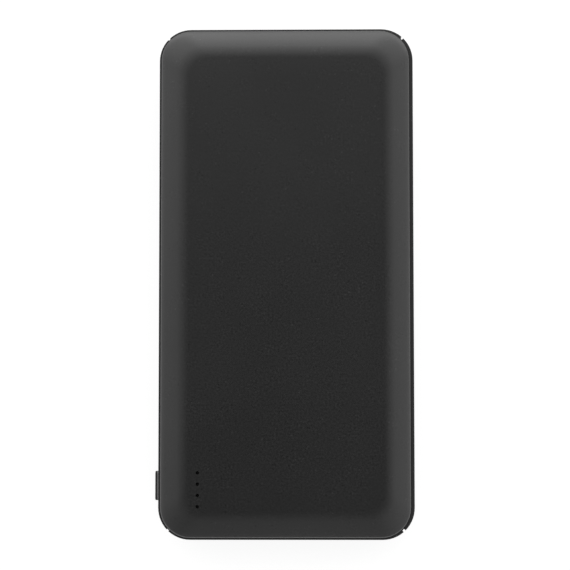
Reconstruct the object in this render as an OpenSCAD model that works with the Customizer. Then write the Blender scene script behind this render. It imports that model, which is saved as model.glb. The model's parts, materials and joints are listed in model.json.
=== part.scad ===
// Slim power bank lying on its back: +Z leaves the front face, +Y points away from the ports.
// The origin is the centre of the back face. Sizes are in millimetres.

/* [Housing] */
// Width across the band
body_w = 70; // [68:0.5:80]
// Length along the band
body_l = 140.5; // [130:0.5:170]
// Thickness from the back face to the front face
body_t = 15; // [14.6:0.2:18]
// Height of the band between the two covers
band_h = 7.4; // [7.2:0.1:8]
// Plan radius of the band's corners
corner_r = 8.75; // [8:0.05:10]
// Wall of the band
band_wall = 2; // [1.8:0.1:2.4]
// Radius on the band's outer edges
band_edge_r = 0.2; // [0.1:0.05:0.4]
// Step from the band's outer face in to the edge of a cover
cover_step = 0.6; // [0.3:0.05:0.8]
// Extra step on the side without the button
plain_step = 0.45; // [0:0.05:0.7]
// Wall of the covers
cover_wall = 1.6; // [1.2:0.1:1.8]
// Width of the notch in the band at each corner
notch_w = 0.7; // [0.4:0.1:1.5]
// Land between a notch and the edge of the covers
notch_land = 0.3; // [0.1:0.05:0.4]

/* [Bevel] */
// Plan width of the bevel round a cover's flat face
bevel_w = 7.9; // [6:0.1:8.4]
// Plan radius of the flat face's corners
face_r = 5.3; // [3:0.1:8]
// Radius of the blend from the flat face into the bevel
blend_r = 9; // [6:0.5:11]
// Slope where the blend ends
blend_angle = 22; // [16:1:26]
// Slope at the foot of the bevel
foot_angle = 31; // [28:1:36]
// Radius on the edge of a cover
edge_r = 0.6; // [0.3:0.05:0.8]

/* [Cover joint] */
// Height of the tongue that a cover sets inside the band
tongue_h = 1.2; // [0.9:0.1:1.3]
// Thickness of the tongue
tongue_t = 1; // [0.8:0.1:1.2]
// Height of the tongue's root inside the cover
tongue_root = 1; // [0.8:0.1:1.3]
// Clearance between tongue and band
joint_fit = 0.1; // [0.05:0.01:0.15]
// Length of a snap bead
snap_l = 8; // [4:0.5:12]
// Reach of a snap bead into the band
snap_d = 0.3; // [0.2:0.05:0.4]
// Height of a snap bead
snap_h = 0.8; // [0.5:0.05:0.9]
// Number of snap beads along each long side
snap_count = 4; // [2:1:5]
// Outermost snap beads from the body's ends
snap_end = 26; // [24:1:34]

/* [Button] */
// Length of the button along the side
button_l = 8; // [6:0.5:12]
// Height of the button
button_h = 3; // [2:0.1:3.1]
// How far the button stands out of the band
button_proud = 1; // [0.5:0.05:1.2]
// Travel of the button
button_travel = 0.4; // [0.2:0.05:0.5]
// Centre of the button from the port end
button_from_end = 14.6; // [14:0.1:18]
// Corner radius of the button
button_r = 0.9; // [0.5:0.1:1]
// Radius on the button's outer edge
button_edge_r = 0.25; // [0.1:0.05:0.4]
// Clearance round the button in the band
button_clear = 0.15; // [0.1:0.05:0.3]
// Thickness of the flange that keeps the button in
flange_t = 0.8; // [0.6:0.1:1]
// How far the flange reaches past the button
flange_over = 0.8; // [0.5:0.1:0.8]
// Length of the nub that presses the switch
nub_l = 1; // [0.8:0.1:1.2]
// Width of the nub along the side
nub_w = 2.4; // [1.6:0.1:3]
// Height of the nub
nub_h = 1.6; // [1:0.1:1.8]

/* [Switch] */
// Depth of the switch from its plunger side
switch_d = 3; // [2.4:0.1:3.2]
// Width of the switch along the side
switch_w = 4.6; // [4:0.1:6]
// Height of the switch on the board
switch_h = 2.2; // [2:0.1:2.6]
// Width of the plunger
plunger_w = 2.2; // [1.6:0.1:3]
// Height of the plunger
plunger_h = 1.2; // [0.8:0.1:1.4]
// How far the plunger stands out of the switch
plunger_out = 0.8; // [0.7:0.1:1]
// How far the plunger reaches into the switch
plunger_in = 1; // [0.6:0.1:1.2]
// Clearance round the plunger
plunger_clear = 0.1; // [0.05:0.05:0.2]

/* [Indicator] */
// Number of indicator lights
led_count = 4; // [3:1:5]
// Spacing of the indicator lights
led_pitch = 3.05; // [3:0.05:3.5]
// First light from the port end
led_from_end = 9.2; // [9:0.1:10]
// Row of lights from the side with the button
led_from_side = 10.95; // [10.6:0.05:12]
// Diameter of the holes in the front cover
led_hole_d = 0.9; // [0.7:0.1:1.4]
// Clearance round the light guide's pins
pin_clear = 0.1; // [0.05:0.05:0.15]
// Depth of the pins below the front face
pin_recess = 1; // [0.2:0.1:1.2]
// Width of the light guide's bar
guide_w = 2.4; // [2:0.1:3]
// Thickness of the light guide's bar
guide_t = 1.2; // [0.8:0.1:1.6]
// Gap between the light guide's bar and the front cover
guide_gap = 0.35; // [0.3:0.05:0.6]
// Diameter of the light guide's columns
column_d = 1.6; // [1.2:0.1:1.7]
// Gap between a column and its light
column_gap = 0.4; // [0.2:0.1:0.8]
// Diameter of the wells in the light shield
well_d = 2.2; // [2:0.1:2.5]
// Width of the light shield
shield_w = 4; // [3.4:0.1:4.2]
// Width of one light
led_w = 0.8; // [0.6:0.1:1]
// Length of one light
led_l = 1.6; // [1.2:0.1:1.6]
// Height of one light
led_h = 0.6; // [0.4:0.1:0.9]

/* [Port openings] */
// Depth of the shells' mouths behind the band's outer face
port_recess = 0.4; // [0.2:0.1:0.8]
// Clearance between a shell and its opening
port_clear = 0.2; // [0.1:0.05:0.25]
// Chamfer on the mouth of an opening
port_chamfer = 0.3; // [0.1:0.05:0.35]
// Sheet thickness of the port shells
shell_t = 0.3; // [0.2:0.05:0.4]

/* [USB-A port] */
// Port's centre from the body's centre line
usb_a_x = 6; // [4:0.5:8]
// Width of the shell
usb_a_w = 13.1; // [12.8:0.1:13.5]
// Height of the shell
usb_a_h = 5.8; // [5.6:0.1:6]
// Length of the shell
usb_a_l = 13.8; // [12:0.1:15]
// Corner radius of the shell
usb_a_r = 0.7; // [0.5:0.1:1]
// Width of the tongue
usb_a_tongue_w = 11.1; // [10.5:0.1:11.5]
// Thickness of the tongue
usb_a_tongue_t = 1.84; // [1.6:0.02:2]
// Gap between the tongue and the shell's upper wall
usb_a_tongue_gap = 0.65; // [0.5:0.05:0.9]
// Tongue's tip behind the shell's mouth
usb_a_tip = 1; // [0.5:0.1:2]
// Depth of the insulator's block
usb_a_block = 3.6; // [3:0.1:4.5]
// Number of contacts
usb_a_contact_n = 4; // [4:1:5]
// Spacing of the contacts
usb_a_pitch = 2.3; // [2:0.1:2.4]
// Width of a contact
usb_a_contact_w = 1; // [0.8:0.1:1.2]
// Reach of the solder ears over the board
ear_w = 1.4; // [1:0.1:1.6]
// Length of a solder ear
ear_l = 2.4; // [1.5:0.1:3]
// Spacing of the solder ears
ear_pitch = 6; // [5:0.5:7]
// Length of a spring leaf in the shell
leaf_l = 6.5; // [5:0.5:7]
// Width of a spring leaf
leaf_w = 1.8; // [1.4:0.1:2.4]
// Width of the slot round a spring leaf
leaf_slot = 0.35; // [0.2:0.05:0.5]
// Height of the bend at the end of a spring leaf
leaf_bend = 0.35; // [0.2:0.05:0.4]
// Spring leaves from the port's centre line
leaf_x = 3.2; // [2.6:0.1:3.8]

/* [Micro-USB port] */
// Port's centre from the side with the button
micro_from_side = 17; // [16:0.5:19]
// Width of the shell
micro_w = 7.5; // [7.2:0.1:8]
// Height of the shell
micro_h = 2.6; // [2.4:0.1:2.8]
// Radius of the shell's upper corners
micro_r = 0.5; // [0.45:0.05:0.8]
// Size of the shell's slanted lower corners
micro_cut = 0.9; // [0.6:0.1:1.1]
// Length of the shell
micro_l = 5.4; // [5:0.1:6]
// Width of the tongue
micro_tongue_w = 3.9; // [3.6:0.1:4.4]
// Thickness of the tongue
micro_tongue_t = 0.65; // [0.5:0.05:0.7]
// Gap between the tongue and the shell's upper wall
micro_tongue_gap = 0.3; // [0.2:0.05:0.4]
// Tongue's tip behind the shell's mouth
micro_tip = 0.7; // [0.4:0.1:1.5]
// Depth of the insulator's block
micro_block = 1.4; // [1:0.1:2]
// Number of contacts
micro_contact_n = 5; // [5:1:6]
// Spacing of the contacts
micro_pitch = 0.65; // [0.6:0.01:0.7]
// Width of a contact
micro_contact_w = 0.35; // [0.25:0.05:0.45]

/* [Contacts] */
// Thickness of the contacts
contact_t = 0.2; // [0.1:0.05:0.25]
// Length of a contact's foot on the board
contact_foot = 1; // [0.6:0.1:1.4]
// Distance from an insulator to the contacts' legs
contact_back = 0.8; // [0.6:0.1:1]

/* [Circuit board] */
// Thickness of the board
board_t = 1.2; // [0.8:0.1:1.2]
// Length of the board along the body
board_l = 23.2; // [22.5:0.1:28]
// Gap between the board and the band's sides
board_side_gap = 2.2; // [1.6:0.1:2.2]
// Gap between the board and the band's port end
board_end_gap = 0.4; // [0.3:0.1:0.8]
// Gap between the USB-A shell and its cut-out in the board
board_cut_gap = 0.2; // [0.1:0.05:0.4]
// Gap between neighbours on the board
part_gap = 1.2; // [0.8:0.1:1.3]
// Side of the square power inductor
inductor_w = 7; // [5:0.1:7.5]
// Height of the power inductor
inductor_h = 3.4; // [2.5:0.1:4]
// Diameter of the inductor's round core
core_d = 5.8; // [4:0.1:6]
// Side of the square control chip
chip_w = 5; // [4:0.1:6]
// Height of the control chip
chip_h = 0.9; // [0.6:0.1:1.2]
// Width of a power transistor
transistor_w = 5; // [4:0.1:5.5]
// Depth of a power transistor
transistor_l = 4; // [3:0.1:4.2]
// Height of a power transistor
transistor_h = 1.5; // [1:0.1:1.8]
// Number of power transistors
transistor_n = 2; // [1:1:2]
// Diameter of a bulk capacitor
bulk_cap_d = 6.3; // [5:0.1:6.3]
// Height of a bulk capacitor
bulk_cap_h = 4.8; // [4:0.1:5]
// Number of bulk capacitors
bulk_cap_n = 2; // [1:1:2]
// Width of a chip capacitor
chip_cap_w = 1.25; // [0.8:0.05:1.3]
// Length of a chip capacitor
chip_cap_l = 2; // [1.6:0.1:2.2]
// Height of a chip capacitor
chip_cap_h = 1.25; // [0.8:0.05:1.6]
// Number of chip capacitors
chip_cap_n = 4; // [2:1:4]

/* [Board screws] */
// Left screw from the board's left side
screw_left = 21.8; // [20:0.1:22.5]
// Right screw from the board's right side
screw_right = 17.8; // [17:0.1:22]
// Screws from the board's inner edge
screw_inset = 3.4; // [3:0.1:4]
// Diameter of the screws
screw_d = 1.6; // [1.4:0.1:2]
// Diameter of the screw heads
head_d = 3.2; // [2.8:0.1:3.6]
// Height of the screw heads
head_h = 1; // [0.8:0.1:1.4]
// Length of the screws under the head
screw_l = 4.2; // [3.5:0.1:4.2]
// Clearance of a screw in its boss
screw_fit = 0.05; // [0.02:0.01:0.1]
// Clearance of a screw in the board
screw_clear = 0.3; // [0.1:0.05:0.4]
// Diameter of the screw bosses
boss_d = 4.4; // [3.6:0.1:5]

/* [Battery] */
// Thickness of one cell
cell_t = 5.2; // [4.5:0.1:5.3]
// Cells from the body's outer faces
cell_margin = 7; // [6.6:0.1:10]
// Corner radius of a cell in plan
cell_r = 3; // [2.5:0.5:5]
// Radius on a cell's edges
cell_edge_r = 1.2; // [0.6:0.1:1.2]
// Length of a cell's sealed end
terrace_l = 5; // [4.5:0.1:7]
// Thickness of a cell's sealed end
terrace_t = 0.4; // [0.3:0.05:0.6]
// Sealed end from the cell's outer face
terrace_rise = 0.6; // [0.4:0.1:1.2]
// Thickness of the tape between the cells
tape_t = 0.3; // [0.1:0.05:0.4]
// Inset of tape and foam pads from a cell's edges
pad_inset = 4; // [3:0.5:8]
// Thickness of the wall between battery and board
partition_t = 1.2; // [0.8:0.1:2]
// Gap on either side of that wall
partition_gap = 0.5; // [0.3:0.1:1]
// Gap between that wall and the covers' tongues
partition_clear = 0.2; // [0.1:0.05:0.4]
// Width of the protection board
guard_w = 40; // [38:1:50]
// Depth of the protection board
guard_l = 3.4; // [3:0.1:4]
// Thickness of the protection board
guard_t = 0.8; // [0.6:0.1:1.2]
// Width of a cell tab
tab_w = 4; // [3:0.1:5]
// Thickness of a cell tab
tab_t = 0.2; // [0.1:0.05:0.3]
// Length of a cell tab's feet
tab_foot = 1.6; // [1:0.1:2]
// Rear cell's tabs from the centre line
tab_rear_x = 10; // [9:0.5:11]
// Front cell's tabs from the centre line
tab_front_x = 16.5; // [16:0.5:17]

/* [Leads] */
// Diameter of a lead
lead_d = 1.3; // [1:0.1:1.6]
// Leads from the centre line
lead_x = 3; // [2:0.5:4]
// Radius of a lead's bends at its middle
lead_bend = 1.6; // [1.2:0.1:2]
// Straight end of a lead on the protection board
lead_stub = 0.3; // [0.2:0.1:0.6]
// Lead's landing from the board's inner edge
lead_inset = 2.4; // [2:0.1:3]
// Clearance of the leads over the wall
lead_clear = 0.4; // [0.2:0.1:0.6]

/* [Hidden] */

// Curve resolution of round forms, and how far a cut runs past the face it opens
$fn = 64;
over = 0.5;

// Steps of the covers' loft round each corner and along the blend, the bevel and the edge in section
corner_n = 10;
blend_n = 7;
bevel_n = 4;
edge_n = 3;

// Signs of X and Y in the four quarters, counted round from +X
quarters = [[1, 1], [-1, 1], [-1, -1], [1, -1]];

// Heights of the housing
cover_h = (body_t - band_h) / 2;
band_low = cover_h;
band_top = cover_h + band_h;
mid_z = body_t / 2;
floor_z = cover_wall;
ceiling_z = body_t - cover_wall;

// Outlines of the covers, of the space inside the band and of the tongues
cover_w = body_w - 2 * cover_step;
cover_l = body_l - 2 * cover_step;
cover_r = corner_r - cover_step;
inner_w = body_w - 2 * band_wall;
inner_r = corner_r - band_wall;
tongue_w = inner_w - 2 * joint_fit;
tongue_l = body_l - 2 * band_wall - 2 * joint_fit;
tongue_r = inner_r - joint_fit;
side_x = -body_w / 2;
side_in_x = side_x + band_wall;
port_end = -body_l / 2;

// Arcs of the bevel in section: x out from the flat face, y up from the band
bevel_run = bevel_w - edge_r * (1 - sin(foot_angle)) - blend_r * sin(blend_angle);
bevel_r = bevel_run / (sin(foot_angle) - sin(blend_angle));
blend_c = [0, cover_h - blend_r];
bevel_c = blend_c + (blend_r - bevel_r) * [sin(blend_angle), cos(blend_angle)];
edge_c = bevel_c + (bevel_r - edge_r) * [sin(foot_angle), cos(foot_angle)];

// Button and switch, in line along X
button_y = port_end + button_from_end;
nub_x = side_in_x + flange_t;
plunger_x = nub_x + nub_l;
switch_x = plunger_x + plunger_out;

// Board
board_top = mid_z - switch_h / 2;
board_low = board_top - board_t;
board_w = inner_w - 2 * board_side_gap;
board_front = port_end + band_wall + board_end_gap;
board_back = board_front + board_l;
screw_y = board_back - screw_inset;
screw_xs = [screw_left - board_w / 2, board_w / 2 - screw_right];

// Indicator lights
led_x = side_x + led_from_side;
led_ys = [for (i = [0 : led_count - 1]) port_end + led_from_end + i * led_pitch];
led_mid_y = (led_ys[0] + led_ys[led_count - 1]) / 2;
led_span = (led_count - 1) * led_pitch;
guide_low = ceiling_z - guide_gap - guide_t;

// Ports
mouth_y = port_end + port_recess;
usb_a_back = mouth_y + usb_a_l;
usb_a_top = mid_z + usb_a_h / 2 - shell_t;
usb_a_tongue_z = usb_a_top - usb_a_tongue_gap - usb_a_tongue_t;
micro_x = side_x + micro_from_side;
micro_back = mouth_y + micro_l;
micro_z = board_top + micro_h / 2;
micro_tongue_z = board_top + micro_h - shell_t - micro_tongue_gap - micro_tongue_t;
bevel_45 = 2 - sqrt(2);

// Places on the board
usb_a_mid_y = mouth_y + usb_a_l / 2;
chip_x = (micro_x + micro_w / 2 + usb_a_x - usb_a_w / 2 - ear_w) / 2;
inductor_x = usb_a_x + usb_a_w / 2 + ear_w + part_gap + inductor_w / 2;
bulk_cap_x = board_w / 2 - part_gap - bulk_cap_d / 2;
bulk_cap_y = board_back - part_gap - bulk_cap_d / 2;
transistor_y = micro_back + contact_back + contact_foot + part_gap / 2 + transistor_l / 2;
chip_cap_y = usb_a_mid_y + chip_w / 2 + part_gap + chip_cap_l / 2;

// Battery, stacked alike above and below the middle plane
partition_y = board_back + partition_gap;
terrace_y = partition_y + partition_t + partition_gap;
cell_y = terrace_y + terrace_l;
cell_end = body_l / 2 - cell_margin;
cell_l = cell_end - cell_y;
cell_w = body_w - 2 * cell_margin;
cell_mid_y = (cell_y + cell_end) / 2;
pad_t = (ceiling_z - floor_z - 2 * cell_t - tape_t) / 2;
cell_low = floor_z + pad_t;
guard_y = terrace_y + terrace_l / 2;
guard_top = mid_z + guard_t / 2;
terrace_top = cell_low + terrace_rise + terrace_t;
lead_z = guard_top + lead_stub + lead_bend;
lead_board_y = board_back - lead_inset;

// Colours
soft_black = [0.17, 0.17, 0.17];
band_black = [0.13, 0.13, 0.13];
deep_black = [0.06, 0.06, 0.06];
steel = [0.75, 0.76, 0.77];
gold = [0.85, 0.68, 0.3];
foil = [0.7, 0.71, 0.73];
clear_grey = [0.45, 0.46, 0.48];
board_green = [0.05, 0.3, 0.16];
foam_grey = [0.25, 0.25, 0.26];
ferrite = [0.28, 0.28, 0.3];
copper_red = [0.7, 0.05, 0.05];

// Shapes used by several pieces

module rounded_rect(w, l, r) {
    square([w - 2 * r, l], center = true);
    square([w, l - 2 * r], center = true);
    for (x = [-1, 1], y = [-1, 1])
        translate([x * (w / 2 - r), y * (l / 2 - r)])
            circle(r);
}

// A box centred in plan, standing on z = 0
module block(w, l, h) {
    translate([-w / 2, -l / 2, 0])
        cube([w, l, h]);
}

// Carries a profile round a rounded rectangle; the profile's x starts at the corner's centre
module swept(w, l, r) {
    for (q = [0 : 3])
        translate([quarters[q][0] * (w / 2 - r), quarters[q][1] * (l / 2 - r), 0])
            rotate(90 * q)
                rotate_extrude(angle = 90)
                    children();
    for (turn = [0, 180])
        rotate(turn) {
            translate([w / 2 - r, l / 2 - r, 0])
                rotate([90, 0, 0])
                    linear_extrude(l - 2 * r)
                        children();
            translate([r - w / 2, l / 2 - r, 0])
                rotate([90, 0, 90])
                    linear_extrude(w - 2 * r)
                        children();
        }
}

// Section of a plate's rim: square inside, rounded at the outer edges
module rim_profile(r, h, top_e, low_e) {
    translate([0, low_e])
        square([r, h - top_e - low_e]);
    square([r - max(top_e, low_e), h]);
    translate([r - top_e, h - top_e])
        circle(top_e);
    if (low_e > 0)
        translate([r - low_e, low_e])
            circle(low_e);
}

// A rounded plate with rounded edges
module slab(w, l, r, h, top_e, low_e) {
    swept(w, l, r)
        rim_profile(r, h, top_e, low_e);
    block(w - 2 * r, l - 2 * r, h);
}

// Turns a plate that stands on XY so that its top faces -X, its width runs along Z
module face_side() {
    translate([side_in_x, button_y, mid_z])
        rotate([0, -90, 0])
            children();
}

// Turns a section in X and Z into a length along Y, starting at y
module along_y(x, y, z, l) {
    translate([x, y + l, z])
        rotate([90, 0, 0])
            linear_extrude(l)
                children();
}

// Covers: a flat face, a blend, a bevel and a small rounded edge, lofted through rounded rectangles
// whose corners open from the flat face's radius to the cover's own

// Points of an arc in section between two slopes, without its first point
function arc(centre, r, from, to, n) = [
    for (i = [1 : n])
        let (slope = from + (to - from) * i / n)
            centre + r * [sin(slope), cos(slope)]
];

// Section of a cover from its flat face down to the joint, or of the space one wall inside it
function cover_section(wall) =
    let (
        foot_x = bevel_w - wall,
        stop = wall > 0 ? asin((foot_x - bevel_c[0]) / (bevel_r - wall)) : foot_angle
    )
    concat(
        [[0, cover_h - wall]],
        arc(blend_c, blend_r - wall, 0, blend_angle, blend_n),
        arc(bevel_c, bevel_r - wall, blend_angle, stop, bevel_n),
        wall > 0 ? [] : arc(edge_c, edge_r, foot_angle, 90, edge_n),
        [[foot_x, wall > 0 ? -over : 0]]
    );

// Rounded rectangle round the cover through one point of the section
function level(point) =
    let (
        out = point[0] / bevel_w,
        r = face_r + (cover_r - face_r) * out,
        x = cover_w / 2 - bevel_w + point[0] - r,
        y = cover_l / 2 - bevel_w + point[0] - r
    )
    [
        for (q = [0 : 3], i = [0 : corner_n])
            let (
                turn = 90 * (q + i / corner_n),
                side = quarters[q][0] > 0 ? x - plain_step * out : -x
            )
                [side + r * cos(turn), quarters[q][1] * y + r * sin(turn), point[1]]
    ];

// Closes a stack of levels, counted from the top down, into a solid
module loft(levels) {
    n = len(levels[0]);
    last = len(levels) - 1;
    lid = [for (i = [1 : n]) n - i];
    base = [for (i = [0 : n - 1]) last * n + i];
    sides = [
        for (k = [0 : last - 1], i = [0 : n - 1])
            let (a = k * n + i, b = k * n + (i + 1) % n)
                each [[a, b, a + n], [b, b + n, a + n]]
    ];
    polyhedron([for (level = levels) each level], concat([lid, base], sides));
}

module cover_form(wall) {
    loft([for (point = cover_section(wall)) level(point)]);
}

// Snap bead or its groove: a ridge along Y whose foot is at x = 0
module snap_ridge(reach, height, length) {
    translate([0, length / 2, 0])
        rotate([90, 0, 0])
            linear_extrude(length)
                polygon([[-over / 2, -height / 2], [0, -height / 2], [reach, 0], [0, height / 2],
                    [-over / 2, height / 2]]);
}

// Puts a ridge at each snap: along both long sides and twice on the end away from the ports
module at_snaps(w, l, z) {
    step = (body_l - 2 * snap_end) / (snap_count - 1);
    for (turn = [0, 180], i = [0 : snap_count - 1])
        rotate(turn)
            translate([w / 2, i * step + snap_end - body_l / 2, z])
                children();
    for (x = [-1, 1])
        translate([x * inner_w / 4, l / 2, z])
            rotate(90)
                children();
}

module tongue() {
    difference() {
        translate([0, 0, -tongue_h])
            linear_extrude(tongue_h + tongue_root)
                difference() {
                    rounded_rect(tongue_w, tongue_l, tongue_r);
                    rounded_rect(tongue_w - 2 * tongue_t, tongue_l - 2 * tongue_t, tongue_r - tongue_t);
                }
        tongue_gap(usb_a_x, usb_a_w);
    }
    at_snaps(tongue_w, tongue_l, -tongue_h / 2)
        snap_ridge(snap_d + joint_fit, snap_h, snap_l);
}

// Room in the tongue for a port's shell
module tongue_gap(x, w) {
    gap_l = band_wall + joint_fit + tongue_t + over;
    translate([x, port_end + gap_l / 2, -tongue_h - over])
        block(w + 2 * port_clear, gap_l, tongue_h + over);
}

module cover_shell() {
    difference() {
        cover_form(0);
        cover_form(cover_wall);
    }
    tongue();
}

module front_cover() {
    color(soft_black)
        difference() {
            translate([0, 0, band_top])
                cover_shell();
            for (y = led_ys)
                translate([led_x, y, ceiling_z - over])
                    cylinder(d = led_hole_d, h = cover_wall + 2 * over);
        }
}

module rear_cover() {
    color(soft_black)
        difference() {
            union() {
                translate([0, 0, band_low])
                    mirror([0, 0, 1])
                        cover_shell();
                for (x = screw_xs)
                    translate([x, screw_y, floor_z / 2])
                        cylinder(d = boss_d, h = board_low - floor_z / 2);
            }
            for (x = screw_xs)
                translate([x, screw_y, board_top - screw_l - screw_fit])
                    cylinder(d = screw_d + 2 * screw_fit, h = screw_l);
        }
}

// Band with its corner notches, port openings, button slot and the wall that parts battery from board

// A rounded opening through the port end, with a chamfer round its mouth
module port_opening(x, z, w, h, r) {
    translate([x, port_end, z])
        rotate([90, 0, 0]) {
            translate([0, 0, -band_wall - over])
                linear_extrude(band_wall + 2 * over)
                    rounded_rect(w, h, r);
            swept(w, h, r)
                polygon([[0, -port_chamfer], [r, -port_chamfer],
                    [r + port_chamfer + over, over], [0, over]]);
        }
}

module mid_frame() {
    partition_low = band_low + tongue_h + partition_clear;
    partition_h = band_h - 2 * (tongue_h + partition_clear);
    notch_reach = cover_step + plain_step + over;
    color(band_black)
        difference() {
            union() {
                translate([0, 0, band_low])
                    swept(body_w, body_l, corner_r)
                        translate([corner_r - band_wall, 0])
                            rim_profile(band_wall, band_h, band_edge_r, band_edge_r);
                translate([0, partition_y + partition_t / 2, partition_low])
                    block(inner_w + band_wall, partition_t, partition_h);
            }
            for (x = [corner_r - body_w / 2, body_w / 2 - corner_r - plain_step], y = [-1, 1])
                translate([x, y * (body_l / 2 - corner_r), band_low - over])
                    rotate(atan2(y, sign(x)))
                        translate([cover_r + notch_land, -notch_w / 2, 0])
                            cube([notch_reach, notch_w, band_h + 2 * over]);
            at_snaps(inner_w, body_l - 2 * band_wall, band_top - tongue_h / 2)
                snap_ridge(snap_d + joint_fit, snap_h, snap_l + 2 * joint_fit);
            at_snaps(inner_w, body_l - 2 * band_wall, band_low + tongue_h / 2)
                snap_ridge(snap_d + joint_fit, snap_h, snap_l + 2 * joint_fit);
            port_opening(usb_a_x, mid_z, usb_a_w + 2 * port_clear, usb_a_h + 2 * port_clear,
                usb_a_r + port_clear);
            port_opening(micro_x, micro_z, micro_w + 2 * port_clear, micro_h + 2 * port_clear,
                micro_r + port_clear);
            face_side()
                translate([0, 0, -over])
                    linear_extrude(band_wall + 2 * over)
                        rounded_rect(button_h + 2 * button_clear, button_l + 2 * button_clear,
                            button_r + button_clear);
            translate([0, partition_y + partition_t / 2, lead_z - lead_d / 2 - lead_clear])
                block(2 * lead_x + lead_d + 2 * lead_clear, partition_t + over, band_h);
        }
}

// Button and switch

module power_button() {
    color(band_black)
        union() {
            face_side()
                slab(button_h, button_l, button_r, band_wall + button_proud, button_edge_r, 0);
            face_side()
                translate([0, 0, -flange_t])
                    block(button_h + 2 * flange_over, button_l + 2 * flange_over, flange_t);
            face_side()
                translate([0, 0, -flange_t - nub_l])
                    block(nub_h, nub_w, nub_l);
        }
}

module switch_plunger() {
    color(deep_black)
        translate([plunger_x + (plunger_out + plunger_in) / 2, button_y, mid_z - plunger_h / 2])
            block(plunger_out + plunger_in, plunger_w, plunger_h);
}

module switch_body() {
    well_l = plunger_in + button_travel + plunger_clear;
    color(steel)
        difference() {
            translate([switch_x + switch_d / 2, button_y, board_top])
                block(switch_d, switch_w, switch_h);
            translate([switch_x + (well_l - over) / 2, button_y, mid_z - plunger_h / 2 - plunger_clear])
                block(well_l + over, plunger_w + 2 * plunger_clear, plunger_h + 2 * plunger_clear);
        }
}

// Indicator

module light_guide() {
    column_low = board_top + led_h + column_gap;
    color(clear_grey)
        union() {
            translate([led_x, led_mid_y, guide_low])
                block(guide_w, led_span + guide_w, guide_t);
            for (y = led_ys) {
                translate([led_x, y, guide_low])
                    cylinder(d = led_hole_d - 2 * pin_clear, h = body_t - pin_recess - guide_low);
                translate([led_x, y, column_low])
                    cylinder(d = column_d, h = guide_low + guide_t / 2 - column_low);
            }
        }
}

module light_shield() {
    color(foam_grey)
        difference() {
            translate([led_x, led_mid_y, board_top])
                block(shield_w, led_span + shield_w, guide_low - board_top);
            for (y = led_ys)
                translate([led_x, y, board_top - over])
                    cylinder(d = well_d, h = guide_low - board_top + 2 * over);
        }
}

module indicator_leds() {
    color("white")
        for (y = led_ys)
            translate([led_x, y, board_top])
                block(led_w, led_l, led_h);
}

// Board and what stands on it

module circuit_board() {
    cut_w = usb_a_w + 2 * board_cut_gap;
    cut_l = usb_a_back + board_cut_gap - board_front + over;
    color(board_green)
        translate([0, 0, board_low])
            linear_extrude(board_t)
                difference() {
                    translate([0, (board_front + board_back) / 2])
                        rounded_rect(board_w, board_l, inner_r);
                    translate([usb_a_x - cut_w / 2, board_front - over])
                        square([cut_w, cut_l]);
                    for (x = screw_xs)
                        translate([x, screw_y])
                            circle(d = screw_d + 2 * screw_clear);
                }
}

module board_screws() {
    color(steel)
        for (x = screw_xs)
            translate([x, screw_y, board_top]) {
                cylinder(d = head_d, h = head_h);
                translate([0, 0, -screw_l])
                    cylinder(d = screw_d, h = screw_l + head_h / 2);
            }
}

module usb_a_section(inset) {
    rounded_rect(usb_a_w - 2 * inset, usb_a_h - 2 * inset, usb_a_r - inset);
}

// Slot round a spring leaf, open on three sides of the leaf, and the leaf's bend into the port
module leaf_cut() {
    slot_w = leaf_w + 2 * leaf_slot;
    difference() {
        translate([0, leaf_l / 2 + leaf_slot / 2, -shell_t - over])
            block(slot_w, leaf_l + leaf_slot, shell_t + 2 * over);
        translate([0, leaf_l / 2 - over, -shell_t - 2 * over])
            block(leaf_w, leaf_l + 2 * over, shell_t + 4 * over);
    }
}

module leaf_ridge() {
    translate([-leaf_w / 2, 0, -shell_t])
        rotate([90, 0, 90])
            linear_extrude(leaf_w)
                polygon([[leaf_l / 2, 0], [leaf_l * 3 / 4, -leaf_bend], [leaf_l, 0], [leaf_l, shell_t / 2],
                    [leaf_l / 2, shell_t / 2]]);
}

module at_leaves() {
    leaf_y = mouth_y + (usb_a_l - usb_a_block - leaf_l) / 2;
    for (x = [-leaf_x, leaf_x], turn = [0, 180])
        translate([usb_a_x + x, leaf_y, mid_z])
            rotate([0, turn, 0])
                translate([0, 0, usb_a_h / 2])
                    children();
}

module usb_a_shell() {
    color(steel)
        union() {
            difference() {
                along_y(usb_a_x, mouth_y, mid_z, usb_a_l)
                    difference() {
                        usb_a_section(0);
                        usb_a_section(shell_t);
                    }
                at_leaves()
                    leaf_cut();
            }
            at_leaves()
                leaf_ridge();
            for (side = [-1, 1], y = [-1, 1])
                translate([usb_a_x + side * (usb_a_w / 2 + ear_w / 2 - shell_t / 2),
                        usb_a_mid_y + y * ear_pitch / 2, board_top])
                    block(ear_w + shell_t, ear_l, shell_t);
        }
}

// Contacts run along the tongue, leave through the block and stand on the board
module contact_row(x, n, pitch, w, tip_y, back_y, z) {
    leg_y = back_y + contact_back;
    for (i = [0 : n - 1])
        translate([x + (i - (n - 1) / 2) * pitch - w / 2, 0, 0]) {
            translate([0, tip_y, z - contact_t])
                cube([w, leg_y - tip_y, contact_t]);
            translate([0, leg_y - contact_t, board_top])
                cube([w, contact_t, z - board_top]);
            translate([0, leg_y - contact_t, board_top])
                cube([w, contact_foot, contact_t]);
        }
}

module usb_a_contact_row() {
    contact_row(usb_a_x, usb_a_contact_n, usb_a_pitch, usb_a_contact_w,
        mouth_y + usb_a_tip + contact_t, usb_a_back, usb_a_tongue_z);
}

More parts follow.
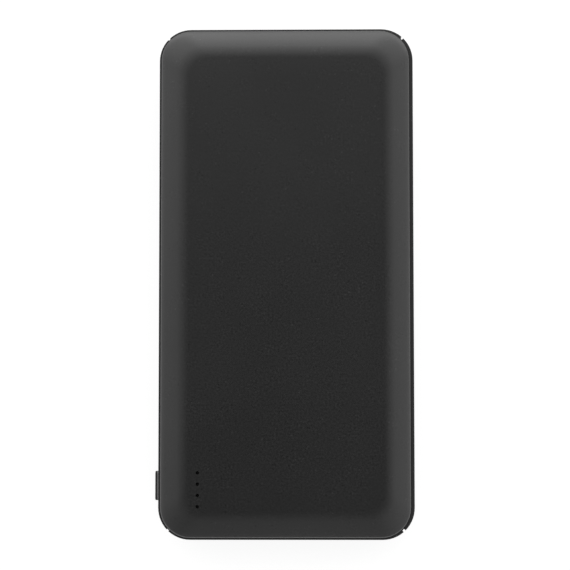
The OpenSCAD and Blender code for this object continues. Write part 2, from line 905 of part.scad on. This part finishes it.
module usb_a_insulator() {
    tip_y = mouth_y + usb_a_tip;
    color(deep_black)
        difference() {
            union() {
                along_y(usb_a_x, usb_a_back - usb_a_block, mid_z, usb_a_block)
                    usb_a_section(shell_t);
                translate([usb_a_x - usb_a_tongue_w / 2, tip_y, usb_a_tongue_z])
                    cube([usb_a_tongue_w, usb_a_back - usb_a_block / 2 - tip_y, usb_a_tongue_t]);
            }
            usb_a_contact_row();
        }
}

module usb_a_contacts() {
    color(gold)
        usb_a_contact_row();
}

// Section of the shell: rounded upper corners, slanted lower ones
module micro_section(inset) {
    w = micro_w - 2 * inset;
    cut = micro_cut - bevel_45 * inset;
    difference() {
        translate([0, micro_h / 2])
            rounded_rect(w, micro_h - 2 * inset, micro_r - inset);
        for (side = [-1, 1])
            translate([side * w / 2, inset])
                rotate(45)
                    square(sqrt(2) * cut, center = true);
    }
}

module micro_usb_shell() {
    color(steel)
        along_y(micro_x, mouth_y, board_top, micro_l)
            difference() {
                micro_section(0);
                micro_section(shell_t);
            }
}

module micro_contact_row() {
    contact_row(micro_x, micro_contact_n, micro_pitch, micro_contact_w,
        mouth_y + micro_tip + contact_t, micro_back, micro_tongue_z);
}

module micro_usb_insulator() {
    tip_y = mouth_y + micro_tip;
    color(deep_black)
        difference() {
            union() {
                along_y(micro_x, micro_back - micro_block, board_top, micro_block)
                    micro_section(shell_t);
                translate([micro_x - micro_tongue_w / 2, tip_y, micro_tongue_z])
                    cube([micro_tongue_w, micro_back - micro_block / 2 - tip_y, micro_tongue_t]);
            }
            micro_contact_row();
        }
}

module micro_usb_contacts() {
    color(gold)
        micro_contact_row();
}

module control_chip() {
    color(deep_black)
        translate([chip_x, usb_a_mid_y, board_top])
            block(chip_w, chip_w, chip_h);
}

module power_transistors() {
    color(deep_black)
        for (i = [0 : transistor_n - 1])
            translate([micro_x, transistor_y + i * (transistor_l + part_gap), board_top])
                block(transistor_w, transistor_l, transistor_h);
}

module power_inductor() {
    base_h = inductor_h / 4;
    color(ferrite)
        translate([inductor_x, usb_a_mid_y, board_top])
            union() {
                block(inductor_w, inductor_w, base_h);
                cylinder(d = core_d, h = inductor_h);
                translate([0, 0, inductor_h - base_h])
                    cylinder(d = inductor_w, h = base_h);
            }
}

module bulk_capacitors() {
    color(foil)
        for (i = [0 : bulk_cap_n - 1])
            translate([bulk_cap_x - i * (bulk_cap_d + part_gap), bulk_cap_y, board_top])
                cylinder(d = bulk_cap_d, h = bulk_cap_h);
}

module chip_capacitors() {
    pitch = chip_cap_w + part_gap;
    color([0.6, 0.5, 0.35])
        for (i = [0 : chip_cap_n - 1])
            translate([chip_x + (i - (chip_cap_n - 1) / 2) * pitch, chip_cap_y, board_top])
                block(chip_cap_w, chip_cap_l, chip_cap_h);
}

// Battery

module cell() {
    translate([0, cell_mid_y, cell_low])
        slab(cell_w, cell_l, cell_r, cell_t, cell_edge_r, cell_edge_r);
    translate([0, (terrace_y + cell_y + cell_r) / 2, cell_low + terrace_rise])
        block(cell_w - 2 * cell_r, terrace_l + cell_r, terrace_t);
}

// Copies a piece of the rear half to the front half
module to_front() {
    translate([0, 0, body_t])
        mirror([0, 0, 1])
            children();
}

module battery_cell_rear() {
    color(foil)
        cell();
}

module battery_cell_front() {
    color(foil)
        to_front()
            cell();
}

module pad(h) {
    translate([0, cell_mid_y, 0])
        linear_extrude(h)
            rounded_rect(cell_w - 2 * pad_inset, cell_l - 2 * pad_inset, cell_r);
}

module cell_tape() {
    color("white")
        translate([0, 0, mid_z - tape_t / 2])
            pad(tape_t);
}

module foam_pad_rear() {
    color(foam_grey)
        translate([0, 0, floor_z])
            pad(pad_t);
}

module foam_pad_front() {
    color(foam_grey)
        translate([0, 0, ceiling_z - pad_t])
            pad(pad_t);
}

// A tab folded like a bracket between a cell's sealed end and the protection board
module tab_pair(x) {
    tab_h = mid_z - guard_t / 2 - terrace_top;
    for (side = [-1, 1])
        translate([side * x - tab_w / 2, guard_y - tab_foot / 2, terrace_top]) {
            cube([tab_w, tab_foot, tab_t]);
            cube([tab_w, tab_t, tab_h]);
            translate([0, 0, tab_h - tab_t])
                cube([tab_w, tab_foot, tab_t]);
        }
}

module cell_tabs() {
    color(steel) {
        tab_pair(tab_rear_x);
        to_front()
            tab_pair(tab_front_x);
    }
}

module protection_board() {
    color(board_green)
        translate([0, guard_y, mid_z - guard_t / 2])
            block(guard_w, guard_l, guard_t);
}

// A lead from the protection board over the wall to the circuit board
module lead(x) {
    bend_low = lead_z - lead_bend;
    translate([x, 0, 0]) {
        translate([0, lead_board_y, board_top])
            cylinder(d = lead_d, h = bend_low - board_top);
        translate([0, guard_y, guard_top])
            cylinder(d = lead_d, h = lead_stub);
        along_y(0, lead_board_y + lead_bend, lead_z, guard_y - lead_board_y - 2 * lead_bend)
            circle(d = lead_d);
        rotate([90, 0, 90]) {
            translate([lead_board_y + lead_bend, bend_low])
                rotate(90)
                    rotate_extrude(angle = 90)
                        translate([lead_bend, 0])
                            circle(d = lead_d);
            translate([guard_y - lead_bend, bend_low])
                rotate_extrude(angle = 90)
                    translate([lead_bend, 0])
                        circle(d = lead_d);
        }
    }
}

module lead_positive() {
    color(copper_red)
        lead(lead_x);
}

module lead_negative() {
    color(deep_black)
        lead(-lead_x);
}

front_cover();
rear_cover();
mid_frame();
power_button();
switch_plunger();
switch_body();
light_guide();
light_shield();
indicator_leds();
circuit_board();
board_screws();
usb_a_shell();
usb_a_insulator();
usb_a_contacts();
micro_usb_shell();
micro_usb_insulator();
micro_usb_contacts();
control_chip();
power_transistors();
power_inductor();
bulk_capacitors();
chip_capacitors();
battery_cell_rear();
battery_cell_front();
cell_tape();
foam_pad_rear();
foam_pad_front();
cell_tabs();
protection_board();
lead_positive();
lead_negative();
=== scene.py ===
import json
import math

import bpy
from mathutils import Matrix, Vector


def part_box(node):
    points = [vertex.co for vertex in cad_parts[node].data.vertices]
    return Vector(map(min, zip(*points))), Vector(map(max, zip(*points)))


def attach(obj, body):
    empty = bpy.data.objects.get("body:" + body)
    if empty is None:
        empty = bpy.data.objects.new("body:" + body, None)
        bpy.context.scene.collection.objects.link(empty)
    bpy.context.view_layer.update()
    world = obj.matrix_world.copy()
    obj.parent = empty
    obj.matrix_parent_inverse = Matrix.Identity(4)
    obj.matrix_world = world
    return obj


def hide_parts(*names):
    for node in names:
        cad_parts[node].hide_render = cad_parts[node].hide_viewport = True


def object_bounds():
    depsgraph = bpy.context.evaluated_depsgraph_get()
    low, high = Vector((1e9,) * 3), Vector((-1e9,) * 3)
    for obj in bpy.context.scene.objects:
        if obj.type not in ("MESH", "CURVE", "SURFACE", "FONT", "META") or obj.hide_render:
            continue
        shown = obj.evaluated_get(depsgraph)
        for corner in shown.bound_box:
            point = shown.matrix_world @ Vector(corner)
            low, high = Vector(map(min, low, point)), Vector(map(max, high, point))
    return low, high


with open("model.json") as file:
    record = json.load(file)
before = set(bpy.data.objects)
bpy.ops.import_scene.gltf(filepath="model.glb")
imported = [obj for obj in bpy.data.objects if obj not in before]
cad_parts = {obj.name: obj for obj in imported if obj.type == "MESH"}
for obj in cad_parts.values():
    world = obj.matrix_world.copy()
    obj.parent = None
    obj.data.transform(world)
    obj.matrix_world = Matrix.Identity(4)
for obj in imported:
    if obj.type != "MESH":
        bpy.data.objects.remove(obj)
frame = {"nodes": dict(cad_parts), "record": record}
cad_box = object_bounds()
nodes = frame["nodes"]
MM = 0.001
MICRON = 0.001 * MM

# Width and height of the photograph in pixels
IMAGE_SIDE = 570

# Camera: nearly straight above, a little towards the port end; Blender counts its sensor in millimetres
CAMERA_DISTANCE = 500 * MM
CAMERA_TILT = math.radians(3.64)
CAMERA_YAW = math.radians(1.02)
CAMERA_ROLL = math.radians(-0.03)
CAMERA_AIM = Vector((-0.33, -0.69, 11)) * MM
FOCAL_PIXELS = 1819.9
SENSOR_WIDTH = 36

# Shader building

# Most values of a noise lie between these two
NOISE_LOW = 0.3
NOISE_HIGH = 0.7


class Nodes:
    """A node tree and the steps that build it; a value is a number, a vector or another node's output."""

    def __init__(self, tree):
        self.tree = tree

    def fill(self, socket, value):
        if isinstance(value, bpy.types.NodeSocket):
            self.tree.links.new(value, socket)
        else:
            socket.default_value = value

    def put(self, target, **inputs):
        """Fills inputs by name, with an underscore for each space."""
        for key, value in inputs.items():
            self.fill(target.inputs[key.replace("_", " ")], value)

    def add(self, kind, **inputs):
        made = self.tree.nodes.new(kind)
        self.put(made, **inputs)
        return made

    def row(self, kind, *values):
        """Adds a node and fills its first inputs in order."""
        made = self.add(kind)
        for socket, value in zip(made.inputs, values):
            self.fill(socket, value)
        return made

    def math(self, operation, *values):
        made = self.row("ShaderNodeMath", *values)
        made.operation = operation
        return made.outputs["Value"]

    def span(self, value, low, high, start=NOISE_LOW, stop=NOISE_HIGH):
        """Carries a value from start..stop to low..high."""
        made = self.add("ShaderNodeMapRange", Value=value, From_Min=start, From_Max=stop,
                        To_Min=low, To_Max=high)
        return made.outputs["Result"]


class Shader(Nodes):
    """A material with one Principled shader; scales count cells to the metre in the object's frame."""

    def __init__(self, name):
        self.material = bpy.data.materials.new(name)
        self.material.use_nodes = True
        super().__init__(self.material.node_tree)
        self.surface = self.tree.nodes["Principled BSDF"]
        self.place = self.add("ShaderNodeTexCoord").outputs["Object"]

    def set(self, **inputs):
        self.put(self.surface, **inputs)

    def noise(self, scale, detail=2):
        made = self.add("ShaderNodeTexNoise", Vector=self.place, Scale=scale, Detail=detail)
        return made.outputs["Fac"]

    def streaks(self, scales, detail):
        """Noise with its own scale along x, y and z."""
        place = self.add("ShaderNodeMapping", Vector=self.place, Scale=scales).outputs["Vector"]
        made = self.add("ShaderNodeTexNoise", Vector=place, Scale=1, Detail=detail)
        return made.outputs["Fac"]

    def cells(self, scale):
        return self.add("ShaderNodeTexVoronoi", Vector=self.place, Scale=scale).outputs

    def ramp(self, value, *stops):
        """Colour by value; each stop is a place from 0 to 1 and a colour."""
        made = self.add("ShaderNodeValToRGB", Fac=value)
        marks = made.color_ramp.elements
        while len(marks) < len(stops):
            marks.new(0.5)
        for mark, (at, colour) in zip(marks, stops):
            mark.position = at
            mark.color = (*colour, 1)
        return made.outputs["Color"]

    def mottle(self, noise, dark, light, stop=NOISE_HIGH):
        """Colour that wanders between dark and light with a noise."""
        return self.ramp(noise, (NOISE_LOW, dark), (stop, light))

    def bump(self, height, distance, strength):
        made = self.add("ShaderNodeBump", Height=height, Distance=distance, Strength=strength)
        return made.outputs["Normal"]


def grey(value):
    return (value, value, value)


def shade(colour, factor):
    return tuple(min(1.0, part * factor) for part in colour)


# Materials

# Soft-touch paint: grain, clouds and specks move its tone up and down from the middle one.
# A share SPECK_SHARE of the cells hold a speck, with a radius of SPECK_RADIUS cells.
MIDDLE_TONE = 0.5
PAINT_TONES = ((0.2, grey(0.0)), (MIDDLE_TONE, grey(0.0141)), (0.85, grey(0.0375)))
GRAIN_SWING = 0.22
CLOUD_SWING = 0.04
SPECK_RADIUS = 0.26
SPECK_SHARE = 0.25


def soft_touch(name):
    """Rubberised paint: near black, with patches of fine grain, a few specks and a faint unevenness."""
    s = Shader(name)
    grain = s.noise(scale=1800, detail=1)
    patch = s.span(s.noise(scale=240), low=0.25, high=1.35, start=0.46, stop=0.62)
    rough = s.math("MULTIPLY", s.span(grain, -GRAIN_SWING, GRAIN_SWING, start=0, stop=1), patch)
    cells = s.cells(scale=1100)
    draw = s.add("ShaderNodeSeparateColor", Color=cells["Color"]).outputs
    inside = s.math("LESS_THAN", cells["Distance"], SPECK_RADIUS)
    chosen = s.math("GREATER_THAN", draw["Red"], 1 - SPECK_SHARE)
    swing = s.math("MULTIPLY", s.math("SUBTRACT", draw["Green"], 0.5), patch)
    speck = s.math("MULTIPLY", s.math("MULTIPLY", inside, chosen), swing)
    cloud = s.span(s.noise(scale=45), MIDDLE_TONE - CLOUD_SWING, MIDDLE_TONE + CLOUD_SWING)
    tone = s.math("ADD", cloud, s.math("ADD", rough, speck))
    s.set(Base_Color=s.ramp(tone, *PAINT_TONES), Roughness=s.span(grain, low=0.29, high=0.35), IOR=1.87)
    s.set(Normal=s.bump(s.noise(scale=6500), 3 * MICRON, strength=0.6))
    return s.material


# Moulded plastic: how far its colour and its roughness wander, as a share and as a number
MOULDED_MOTTLE = 0.14
MOULDED_SPREAD = 0.06


def moulded(name, colour, roughness, grain_scale=4200, depth=8 * MICRON):
    """Moulded plastic with a fine spark-eroded texture."""
    s = Shader(name)
    grain = s.noise(grain_scale, detail=3)
    dark = shade(colour, 1 - MOULDED_MOTTLE)
    light = shade(colour, 1 + MOULDED_MOTTLE)
    s.set(Base_Color=s.mottle(s.noise(scale=120), dark, light))
    s.set(Roughness=s.span(grain, roughness - MOULDED_SPREAD, roughness + MOULDED_SPREAD), IOR=1.72)
    s.set(Normal=s.bump(grain, depth, strength=0.6))
    return s.material


# Button's black face: how far its colour wraps round the edge, and the width over which it fades into the
# sides' lighter grey, which is painted light
BLACK_FACE_DEPTH = 0.4 * MM
BLACK_FACE_FADE = 0.1 * MM


def cap_with_painted_light(name):
    """Button: black satin face; lighter grey sides, painted light for the side facing up catching light.
    """
    s = Shader(name)
    grain = s.noise(scale=5200, detail=3)
    across = s.add("ShaderNodeSeparateXYZ", Vector=s.place).outputs["X"]
    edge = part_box("power_button")[0].x + BLACK_FACE_DEPTH
    # The sides' lighter grey is painted light: it stands in for the button's top side catching light
    painted_light_sides = s.span(across, low=0, high=1, start=edge, stop=edge + BLACK_FACE_FADE)
    s.set(Base_Color=s.ramp(painted_light_sides, (0.0, grey(0.0073)), (1.0, grey(0.34))))
    s.set(Roughness=s.span(grain, low=0.5, high=0.62), IOR=1.45, Specular_IOR_Level=0.4)
    s.set(Normal=s.bump(grain, 4 * MICRON, strength=0.6))
    return s.material


# Metal: the share of its colour that tarnish leaves, and how far streaks smooth and roughen it
TARNISH = 0.82
STREAK_SMOOTHER = 0.07
STREAK_ROUGHER = 0.09


def metal(name, colour, roughness, scales):
    """Plated or drawn metal: streaks along the rolling direction and a faint tarnish."""
    s = Shader(name)
    streak = s.streaks(scales, detail=3)
    tarnish = s.noise(scale=350, detail=3)
    s.set(Base_Color=s.mottle(tarnish, shade(colour, TARNISH), colour, stop=0.65), Metallic=1)
    s.set(Roughness=s.span(streak, roughness - STREAK_SMOOTHER, roughness + STREAK_ROUGHER))
    s.set(Normal=s.bump(streak, 3 * MICRON, strength=0.5))
    return s.material


def smoked(name):
    """Smoked translucent plastic of the light guide, frosted by its mould."""
    s = Shader(name)
    frost = s.noise(scale=5200, detail=3)
    s.set(Base_Color=s.mottle(s.noise(scale=600), grey(0.003), grey(0.006)))
    s.set(Roughness=s.span(frost, low=0.16, high=0.3), IOR=1.58, Transmission_Weight=0.35)
    s.set(Normal=s.bump(frost, 4 * MICRON, strength=0.5))
    return s.material


def foam(name):
    """Closed-cell foam: small open bubbles on its skin, darker towards the middle of each hollow as
    painted shade.
    """
    s = Shader(name)
    bubble = s.cells(scale=2600)["Distance"]
    # Darker colour towards the bubbles' hollows is painted shade
    s.set(Base_Color=s.ramp(bubble, (0.0, grey(0.025)), (0.55, grey(0.06)), (0.9, grey(0.075))))
    s.set(Roughness=0.9, Sheen_Weight=0.15)
    s.set(Normal=s.bump(bubble, 80 * MICRON, strength=0.7))
    return s.material


# Greens of the circuit board: two shades of resist over copper, and bare laminate
RESIST = (0.012, 0.12, 0.05, 1)
RESIST_LIGHT = (0.016, 0.15, 0.065, 1)
LAMINATE = (0.008, 0.075, 0.032, 1)


def circuit(name):
    """Solder resist over copper: tracks show as lighter runs, bare laminate as darker gaps."""
    s = Shader(name)
    tracks = s.add("ShaderNodeTexBrick", Vector=s.place, Scale=260, Mortar_Size=0.045,
                   Color1=RESIST, Color2=RESIST_LIGHT, Mortar=LAMINATE)
    tracks.offset = 0.37
    s.set(Base_Color=tracks.outputs["Color"])
    s.set(Roughness=s.span(s.noise(scale=900), low=0.24, high=0.36), IOR=1.5)
    s.set(Normal=s.bump(tracks.outputs["Fac"], 30 * MICRON, strength=-0.5))
    return s.material


def pouch(name):
    """Laminated foil of a pouch cell: satin metal with soft creases."""
    s = Shader(name)
    crease = s.noise(scale=160, detail=4)
    s.set(Base_Color=s.mottle(s.noise(scale=40), grey(0.5), grey(0.62)), Metallic=0.9)
    s.set(Roughness=s.span(crease, low=0.3, high=0.44))
    s.set(Normal=s.bump(crease, 0.4 * MM, strength=0.35))
    return s.material


def lens(name):
    """Moulded lens of a small light, milky with a warm core."""
    s = Shader(name)
    s.set(Base_Color=s.mottle(s.noise(scale=900), (0.75, 0.72, 0.6), (0.85, 0.84, 0.78)))
    s.set(Roughness=s.span(s.noise(scale=3000), low=0.15, high=0.25), Subsurface_Weight=0.2)
    return s.material


# Scales of the streaks in metal along x, y and z: a low one draws them out
ROLLED_ALONG_X = (260, 9000, 9000)
ROLLED_ALONG_Y = (9000, 260, 9000)
DRAWN_ALONG_Z = (3000, 3000, 600)
RINGS_ROUND_Z = (600, 600, 9000)

MOULDINGS = {
    "band_black": dict(colour=grey(0.02), roughness=0.46),
    "port_black": dict(colour=grey(0.0165), roughness=0.42, grain_scale=3600),
    "chip_black": dict(colour=grey(0.02), roughness=0.55, grain_scale=3000),
    "ferrite_grey": dict(colour=(0.06, 0.06, 0.065), roughness=0.6, grain_scale=2400, depth=10 * MICRON),
    "capacitor_tan": dict(colour=(0.3, 0.2, 0.1), roughness=0.5, grain_scale=2600),
    "tape_white": dict(colour=grey(0.7), roughness=0.6, grain_scale=1800),
    "lead_red": dict(colour=(0.42, 0.016, 0.014), roughness=0.36, grain_scale=2600),
    "lead_black": dict(colour=grey(0.012), roughness=0.36, grain_scale=2600),
}
METALS = {
    "shell_steel": dict(colour=(0.62, 0.6, 0.57), roughness=0.27, scales=ROLLED_ALONG_Y),
    "contact_gold": dict(colour=(0.86, 0.6, 0.24), roughness=0.24, scales=ROLLED_ALONG_Y),
    "tab_nickel": dict(colour=(0.66, 0.64, 0.6), roughness=0.3, scales=ROLLED_ALONG_X),
    "screw_steel": dict(colour=(0.52, 0.52, 0.54), roughness=0.34, scales=DRAWN_ALONG_Z),
    "can_aluminium": dict(colour=(0.66, 0.67, 0.69), roughness=0.3, scales=RINGS_ROUND_Z),
}
SINGLE_FINISHES = {
    "soft_touch_black": soft_touch,
    "button_black": cap_with_painted_light,
    "light_guide_smoke": smoked,
    "foam_grey": foam,
    "led_white": lens,
    "board_green": circuit,
    "cell_foil": pouch,
}

finishes = {slot: make(slot) for slot, make in SINGLE_FINISHES.items()}
finishes.update({slot: moulded(slot, **look) for slot, look in MOULDINGS.items()})
finishes.update({slot: metal(slot, **look) for slot, look in METALS.items()})

for part in frame["record"]["subparts"]:
    mesh = nodes[part["node"]].data
    mesh.materials.clear()
    mesh.materials.append(finishes[part["material_slot"]])

# Lofted covers: shaded as the curved surface that their facets stand for

SHARP_ANGLE = math.radians(28)
WELD_DISTANCE = 1 * MICRON


def smoothing():
    """Joins the facets and keeps only edges over SHARP_ANGLE sharp."""
    group = bpy.data.node_groups.new("smoothing", "GeometryNodeTree")
    for way in ("INPUT", "OUTPUT"):
        group.interface.new_socket("Geometry", in_out=way, socket_type="NodeSocketGeometry")
    n = Nodes(group)
    facets = n.add("NodeGroupInput").outputs["Geometry"]
    joined = n.add("GeometryNodeMergeByDistance", Geometry=facets, Distance=WELD_DISTANCE)
    painted_light_sides = n.add("GeometryNodeRemoveAttribute", Geometry=joined.outputs["Geometry"], Name="custom_normal")
    soft = n.add("GeometryNodeSetShadeSmooth", Geometry=painted_light_sides.outputs["Geometry"], Shade_Smooth=True)
    bend = n.add("GeometryNodeInputMeshEdgeAngle").outputs["Unsigned Angle"]
    crisp = n.add("GeometryNodeSetShadeSmooth", Geometry=soft.outputs["Geometry"], Shade_Smooth=False,
                  Selection=n.math("GREATER_THAN", bend, SHARP_ANGLE))
    crisp.domain = "EDGE"
    n.add("NodeGroupOutput", Geometry=crisp.outputs["Geometry"])
    return group


cover_smoothing = smoothing()
for name in ("front_cover", "rear_cover"):
    nodes[name].modifiers.new("smoothing", "NODES").node_group = cover_smoothing

# Foam pads between cells and covers: pressed sheets whose cut sides bulge

PAD_CORNER = 2.5 * MM
PAD_CORNER_STEPS = 6
PAD_SIDE_STEPS = 8


def pad_outline(low, high, inset, z):
    """Rounded rectangle inside a node's box, drawn in by inset."""
    r = PAD_CORNER - inset
    middle = (low + high) / 2
    reach = (high - low) / 2 - Vector((PAD_CORNER, PAD_CORNER, 0))
    points = []
    for quarter, (sx, sy) in enumerate(((1, 1), (-1, 1), (-1, -1), (1, -1))):
        for step in range(PAD_CORNER_STEPS + 1):
            turn = math.pi / 2 * (quarter + step / PAD_CORNER_STEPS)
            points.append((middle.x + sx * reach.x + r * math.cos(turn),
                           middle.y + sy * reach.y + r * math.sin(turn), z))
    return points


def foam_pad(name, node):
    """A closed sheet in the node's box with half-round sides."""
    low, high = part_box(node)
    half = (high.z - low.z) / 2
    points = []
    for step in range(PAD_SIDE_STEPS + 1):
        turn = math.pi * step / PAD_SIDE_STEPS
        inset = half * (1 - math.sin(turn))
        points += pad_outline(low, high, inset, low.z + half * (1 - math.cos(turn)))
    count = 4 * (PAD_CORNER_STEPS + 1)
    last = PAD_SIDE_STEPS * count
    faces = [tuple(reversed(range(count))), tuple(range(last, last + count))]
    for start in range(0, last, count):
        for i in range(count):
            j = (i + 1) % count
            faces.append((start + i, start + j, start + count + j, start + count + i))
    mesh = bpy.data.meshes.new(name)
    mesh.from_pydata(points, [], faces)
    mesh.polygons.foreach_set("use_smooth", [len(face) == 4 for face in faces])
    mesh.materials.append(finishes["foam_grey"])
    pad = bpy.data.objects.new(name, mesh)
    bpy.context.scene.collection.objects.link(pad)
    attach(pad, "housing")
    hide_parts(node)


foam_pad("rear_foam_sheet", "foam_pad_rear")
foam_pad("front_foam_sheet", "foam_pad_front")

# Stage: a pale floor that keeps the shadow, a room with a dark ceiling and pale walls, and a soft lamp

FLOOR_SIDE = 20.0
FLOOR_DROP = 0.1 * MM

# The floor's grey for the light that it gives the object, and its grey and glow where it is seen
FLOOR_MATT = 0.8
FLOOR_SHADED = 0.47
FLOOR_GLOW = 0.84


def seen_directly(n):
    """1 for rays from the camera, from gloss and through glass."""
    path = n.add("ShaderNodeLightPath").outputs
    gloss_or_glass = n.math("MAXIMUM", path["Is Glossy Ray"], path["Is Transmission Ray"])
    return n.math("MAXIMUM", path["Is Camera Ray"], gloss_or_glass)


def floor_material():
    """White where it is seen in full light, darker in the object's shadow."""
    material = bpy.data.materials.new("floor")
    material.use_nodes = True
    n = Nodes(material.node_tree)
    n.tree.nodes.clear()
    matt = n.add("ShaderNodeBsdfDiffuse", Color=(*grey(FLOOR_MATT), 1))
    shaded = n.add("ShaderNodeBsdfDiffuse", Color=(*grey(FLOOR_SHADED), 1))
    glow = n.add("ShaderNodeEmission", Strength=FLOOR_GLOW)
    white = n.row("ShaderNodeAddShader", shaded.outputs["BSDF"], glow.outputs["Emission"])
    choice = n.row("ShaderNodeMixShader", seen_directly(n), matt.outputs["BSDF"], white.outputs["Shader"])
    n.add("ShaderNodeOutputMaterial", Surface=choice.outputs["Shader"])
    return material


def make_floor():
    half = FLOOR_SIDE / 2
    mesh = bpy.data.meshes.new("floor")
    corners = [(-half, -half), (half, -half), (half, half), (-half, half)]
    mesh.from_pydata([(x, y, cad_box[0].z - FLOOR_DROP) for x, y in corners], [], [(0, 1, 2, 3)])
    mesh.materials.append(floor_material())
    floor = bpy.data.objects.new("floor", mesh)
    bpy.context.scene.collection.objects.link(floor)


# Light that the room's walls add: the ceiling stays dark up to ROOM_CLEAR, the side walls brighten
# towards the far end by LEFT_TURN and RIGHT_TURN, and the far wall brightens by the power FAR_CURVE.
ROOM_LEFT = 0.59
LEFT_TURN = 0.6
ROOM_RIGHT = 0.69
RIGHT_TURN = 0.2
ROOM_NEAR = 0.41
ROOM_FAR = 0.74
FAR_CURVE = 1.15
ROOM_CLEAR = 0.03

# Heights on the walls are sines of the angle above the floor. The side and near walls dim from full
# light at WALL_TOP down to a share WALL_FOOT at WALL_LOW, and the far wall does so by its FAR values.
WALL_LOW = 0.2
WALL_TOP = 0.65
WALL_FOOT = 0.7
FAR_LOW = 0.12
FAR_TOP = 0.35
FAR_FOOT = 0.4

# The horizon glows beyond the long sides, from HORIZON_TURN on and up to the height HORIZON_TOP
HORIZON_TOP = 0.35
HORIZON_SIDES = 0.77
HORIZON_TURN = 0.3


def make_room():
    """World light: dark overhead, paler towards every wall, most beyond the far end."""
    world = bpy.data.worlds.new("room")
    bpy.context.scene.world = world
    world.use_nodes = True
    n = Nodes(world.node_tree)
    place = n.add("ShaderNodeTexCoord").outputs["Generated"]
    way = n.add("ShaderNodeSeparateXYZ", Vector=place).outputs
    to_left = n.math("SUBTRACT", n.math("MULTIPLY", way["Y"], LEFT_TURN), way["X"])
    to_right = n.math("ADD", n.math("MULTIPLY", way["Y"], RIGHT_TURN), way["X"])
    left = n.span(to_left, low=0, high=ROOM_LEFT, start=ROOM_CLEAR, stop=1)
    right = n.span(to_right, low=0, high=ROOM_RIGHT, start=ROOM_CLEAR, stop=1)
    near = n.span(way["Y"], low=ROOM_NEAR, high=0, start=-1, stop=-ROOM_CLEAR)
    walls = n.math("ADD", n.math("ADD", left, right), near)
    walls = n.math("MULTIPLY", walls, n.span(way["Z"], WALL_FOOT, 1, WALL_LOW, WALL_TOP))
    far = n.math("POWER", n.span(way["Y"], low=0, high=1, start=0, stop=1), FAR_CURVE)
    far = n.math("MULTIPLY", far, n.span(way["Z"], FAR_FOOT * ROOM_FAR, ROOM_FAR, FAR_LOW, FAR_TOP))
    aside = n.math("ABSOLUTE", way["X"])
    horizon = n.math("MULTIPLY", n.span(way["Z"], low=1, high=0, start=0, stop=HORIZON_TOP),
                     n.span(aside, low=0, high=HORIZON_SIDES, start=HORIZON_TURN, stop=1))
    level = n.math("ADD", n.math("ADD", walls, far), horizon)
    n.put(n.tree.nodes["Background"], Color=(1, 1, 1, 1), Strength=level)


def softbox(name, azimuth, elevation, distance, width, height, radiance):
    """A soft lamp that faces the object; azimuth 0 stands on the +Y side and turns towards +X."""
    lamp = bpy.data.lights.new(name, "AREA")
    lamp.shape = "RECTANGLE"
    lamp.size = width
    lamp.size_y = height
    lamp.energy = radiance * math.pi * width * height
    turn = math.radians(azimuth)
    rise = math.radians(elevation)
    way = Vector((math.sin(turn) * math.cos(rise), math.cos(turn) * math.cos(rise), math.sin(rise)))
    made = bpy.data.objects.new(name, lamp)
    made.location = CAMERA_AIM + way * distance
    made.rotation_euler = way.to_track_quat("Z", "Y").to_euler()
    bpy.context.scene.collection.objects.link(made)


def make_camera():
    back = Vector((math.sin(CAMERA_YAW) * math.cos(CAMERA_TILT), -math.sin(CAMERA_TILT),
                   math.cos(CAMERA_YAW) * math.cos(CAMERA_TILT)))
    right = Vector((0, 1, 0)).cross(back).normalized()
    up = back.cross(right)
    turn = Matrix((right, up, back)).transposed() @ Matrix.Rotation(CAMERA_ROLL, 3, "Z")
    optics = bpy.data.cameras.new("camera")
    optics.sensor_width = SENSOR_WIDTH
    optics.lens = FOCAL_PIXELS / IMAGE_SIDE * SENSOR_WIDTH
    camera = bpy.data.objects.new("camera", optics)
    camera.matrix_world = Matrix.Translation(CAMERA_AIM + back * CAMERA_DISTANCE) @ turn.to_4x4()
    bpy.context.scene.collection.objects.link(camera)
    bpy.context.scene.camera = camera


make_floor()
make_room()
softbox("lamp_far", azimuth=6, elevation=17, distance=0.8, width=2.0, height=0.3, radiance=0.9)
make_camera()
bpy.context.scene.view_settings.view_transform = "Standard"
